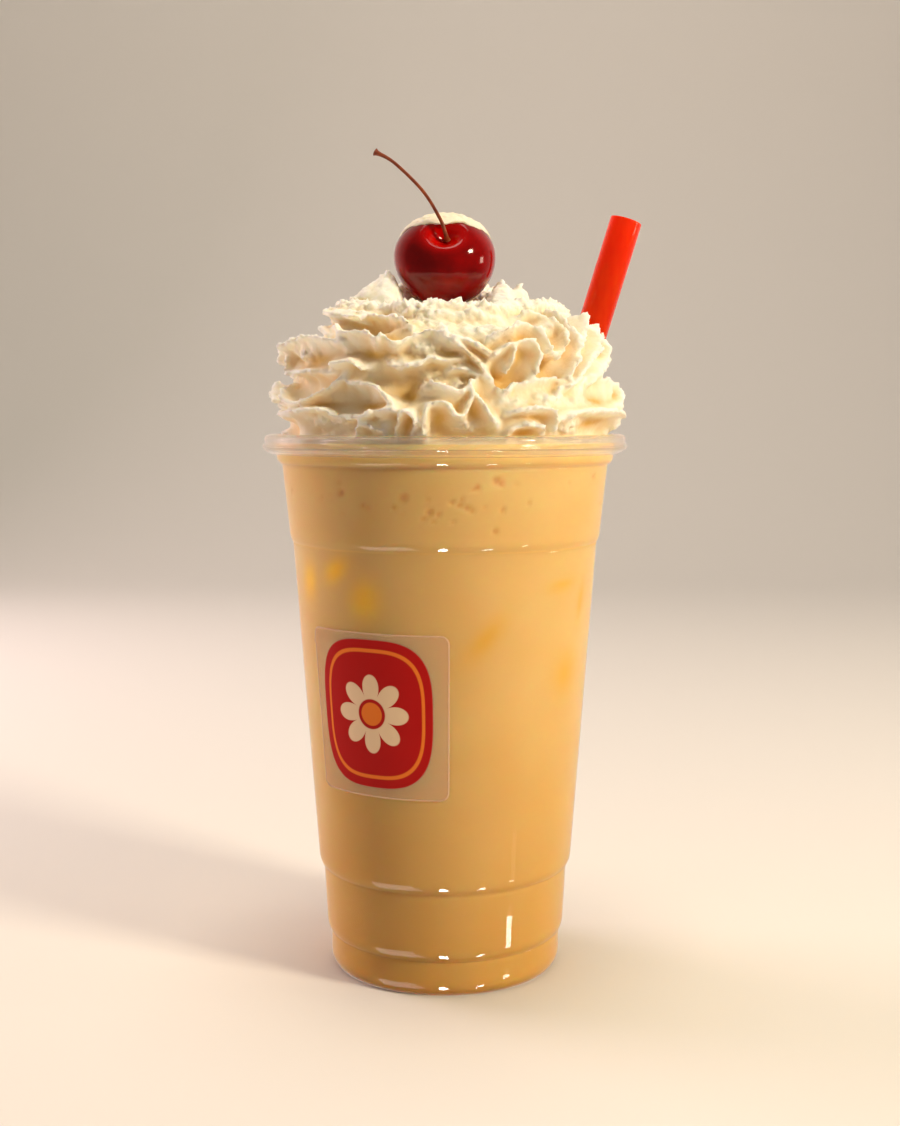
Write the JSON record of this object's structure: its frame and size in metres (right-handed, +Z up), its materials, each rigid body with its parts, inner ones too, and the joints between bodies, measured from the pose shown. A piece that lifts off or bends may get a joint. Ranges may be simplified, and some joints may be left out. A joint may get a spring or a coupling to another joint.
{
  "type": "vanilla milkshake",
  "caption": "Vanilla milkshake in a clear takeaway cup with a rolled rim and stacking steps, topped with piped whipped cream, a cherry on its stem and a leaning straw.",
  "frame": {"origin": "centre of the cup's flat foot, on the surface the cup stands on", "axes": "+Z up along the cup's axis, -Y towards the front that the cherry's dimple faces, +X to the side the straw leans to"},
  "size_m": [0.1042, 0.098, 0.2197],
  "materials": {
    "clear_plastic": "clear thin moulded plastic, glossy",
    "shake": "opaque creamy drink, smooth, with soft yellow patches",
    "cream": "whipped cream, matte and finely porous, torn at its lips",
    "cherry_skin": "dark red fruit skin, very glossy",
    "stem": "dry brown fruit stalk",
    "straw_plastic": "translucent red-orange plastic, satin gloss",
    "label_film": "milky film with a plain red print, satin"
  },
  "bodies": {
    "root": {"cup": "clear_plastic", "milkshake": "shake", "whipped_cream": "cream", "cherry": "cherry_skin", "cherry_stem": "stem", "cherry_cream": "cream", "straw": "straw_plastic", "label": "label_film"}
  },
  "joints": []
}
